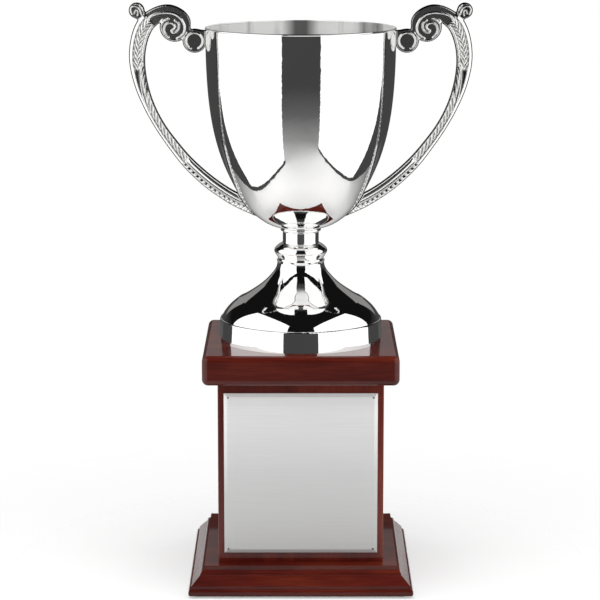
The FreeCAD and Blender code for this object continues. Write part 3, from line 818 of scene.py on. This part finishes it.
FLOOR_COLOUR = (0.90, 0.90, 0.90, 1.0)
SEEN_FLOOR_HALF = 0.5
SEEN_FLOOR_STRENGTH = 0.6
SEEN_FLOOR_FADE = [(0.10, 1.0), (0.22, 0.3), (0.34, 0.0)]
MIRRORED_FLOOR_FRONT = (0.9, -1.6)
MIRRORED_FLOOR_BACK = (0.7, 0.9)
MIRRORED_FLOOR_DROP = 0.0004     # keeps it from coinciding with the floor that is seen
MIRRORED_FLOOR_FADE = [(0.2, 1.0), (0.38, 0.72), (0.55, 0.36), (0.9, 0.13), (1.6, 0.0)]

BACKDROP_DISTANCE = 1.0
BACKDROP_HALF = 0.6
BACKDROP_HEIGHTS = (0.30, 0.72)
BACKDROP_COLOUR = (1, 0.98, 0.96)
BACKDROP_STRENGTH = 0.27

OVERHEAD_SIZE = 1.6
OVERHEAD_WATTS = 31
OVERHEAD_PLACE = (0, -0.2, 1.9)

SENSOR = 36
LENS = 147
CAMERA_PLACE = (-0.0005, -1.589, 0.4827)
CAMERA_TARGET = (-0.0005, 0, 0.1824)


def make_floor(name, outline, low, strength, fade):
    """A pale floor that fades with distance; fade holds metres from the middle and shares."""
    material, tree, shader = new_material(name)
    shader.inputs["Base Color"].default_value = FLOOR_COLOUR
    shader.inputs["Roughness"].default_value = 0.9
    shader.inputs["Specular IOR Level"].default_value = 0.0
    place = tree.nodes.new("ShaderNodeTexCoord")
    reach = tree.nodes.new("ShaderNodeVectorMath")
    reach.operation = "LENGTH"
    tree.links.new(place.outputs["Object"], reach.inputs[0])
    farthest = fade[-1][0]
    share = math_node(tree, "DIVIDE", reach.outputs["Value"], farthest)
    stops = [(metres / farthest, (strength * level,) * 3) for metres, level in fade]
    tree.links.new(ramp(tree, share, stops), shader.inputs["Alpha"])
    corners = [(x, y, 0) for x, y in outline]
    floor = mesh_object(name, corners, [tuple(range(len(corners)))], material)
    floor.location.z = low
    return floor


def make_floors():
    """One floor for the camera and, just under it, the one that the plating mirrors."""
    half = SEEN_FLOOR_HALF
    square = [(-half, -half), (half, -half), (half, half), (-half, half)]
    seen = make_floor("floor", square, 0.0, SEEN_FLOOR_STRENGTH, SEEN_FLOOR_FADE)
    seen.visible_glossy = False
    seen.visible_diffuse = False
    left_front, left_back = LEFT_SOFTBOX[0][1:]
    right_front, right_back = RIGHT_SOFTBOX[0][1:]
    front_x, front_y = MIRRORED_FLOOR_FRONT
    back_x, back_y = MIRRORED_FLOOR_BACK
    between = [
        (-front_x, front_y),
        (front_x, front_y),
        (right_front[0] - FLOOR_GAP, right_front[1]),
        (right_back[0] - FLOOR_GAP, right_back[1]),
        (back_x, back_y),
        (-back_x, back_y),
        (FLOOR_GAP - left_back[0], left_back[1]),
        (FLOOR_GAP - left_front[0], left_front[1]),
    ]
    drop = MIRRORED_FLOOR_DROP
    mirrored = make_floor("mirrored_floor", between, -drop, 1.0, MIRRORED_FLOOR_FADE)
    mirrored.visible_camera = False


def make_softbox(name, side, rows):
    """One flat light, its rows of corners from the floor up; side is -1 or 1."""
    points = []
    for z, front, back in rows:
        points.append((side * front[0], front[1], z))
        points.append((side * back[0], back[1], z))
    faces = [(2 * k, 2 * k + 1, 2 * k + 3, 2 * k + 2) for k in range(len(rows) - 1)]
    light = mesh_object(name, points, faces, emissive("softbox", (1, 1, 1), SOFTBOX_STRENGTH))
    light.visible_camera = False
    light.visible_shadow = False


def make_backdrop():
    """A dim card far behind that the polished tops and the foot's edges mirror."""
    half, away = BACKDROP_HALF, BACKDROP_DISTANCE
    low, high = BACKDROP_HEIGHTS
    points = [(-half, away, low), (half, away, low), (half, away, high), (-half, away, high)]
    glow = emissive("backdrop", BACKDROP_COLOUR, BACKDROP_STRENGTH)
    card = mesh_object("backdrop", points, [(0, 1, 2, 3)], glow)
    card.visible_camera = False
    card.visible_shadow = False
    card.visible_diffuse = False


def make_overhead():
    """Lights the floor and the wood from above without showing in the plating."""
    lamp = bpy.data.lights.new("overhead", "AREA")
    lamp.shape = "DISK"
    lamp.size = OVERHEAD_SIZE
    lamp.energy = OVERHEAD_WATTS
    top = bpy.data.objects.new("overhead", lamp)
    top.location = OVERHEAD_PLACE
    top.visible_glossy = False
    top.visible_camera = False
    bpy.context.scene.collection.objects.link(top)


def make_world():
    """White to the camera; to every other ray dark grey, and darker higher up."""
    world = bpy.data.worlds.new("studio")
    world.use_nodes = True
    tree = world.node_tree
    tree.nodes.clear()
    output = tree.nodes.new("ShaderNodeOutputWorld")
    place = tree.nodes.new("ShaderNodeTexCoord")
    rise = tree.nodes.new("ShaderNodeSeparateXYZ")
    tree.links.new(place.outputs["Generated"], rise.inputs["Vector"])
    upward = [(0.04, (0.058, 0.058, 0.059)), (0.30, (0.006, 0.006, 0.006))]
    shade = ramp(tree, rise.outputs["Z"], upward)
    dark = tree.nodes.new("ShaderNodeBackground")
    tree.links.new(shade, dark.inputs["Color"])
    white = tree.nodes.new("ShaderNodeBackground")
    white.inputs["Color"].default_value = (1.0, 1.0, 1.0, 1.0)
    path = tree.nodes.new("ShaderNodeLightPath")
    mix = tree.nodes.new("ShaderNodeMixShader")
    tree.links.new(path.outputs["Is Camera Ray"], mix.inputs["Fac"])
    tree.links.new(dark.outputs["Background"], mix.inputs[1])
    tree.links.new(white.outputs["Background"], mix.inputs[2])
    tree.links.new(mix.outputs["Shader"], output.inputs["Surface"])
    bpy.context.scene.world = world


def make_camera():
    """Looks slightly down on the trophy from straight in front."""
    lens = bpy.data.cameras.new("camera")
    lens.sensor_width = SENSOR
    lens.lens = LENS
    camera = bpy.data.objects.new("camera", lens)
    camera.location = CAMERA_PLACE
    sight = Vector(CAMERA_TARGET) - camera.location
    camera.rotation_euler = sight.to_track_quat("-Z", "Y").to_euler()
    bpy.context.scene.collection.objects.link(camera)
    bpy.context.scene.camera = camera
    bpy.context.scene.view_settings.view_transform = "Standard"


make_floors()
make_softbox("softbox_left", -1, LEFT_SOFTBOX)
make_softbox("softbox_right", 1, RIGHT_SOFTBOX)
make_backdrop()
make_overhead()
make_world()
make_camera()
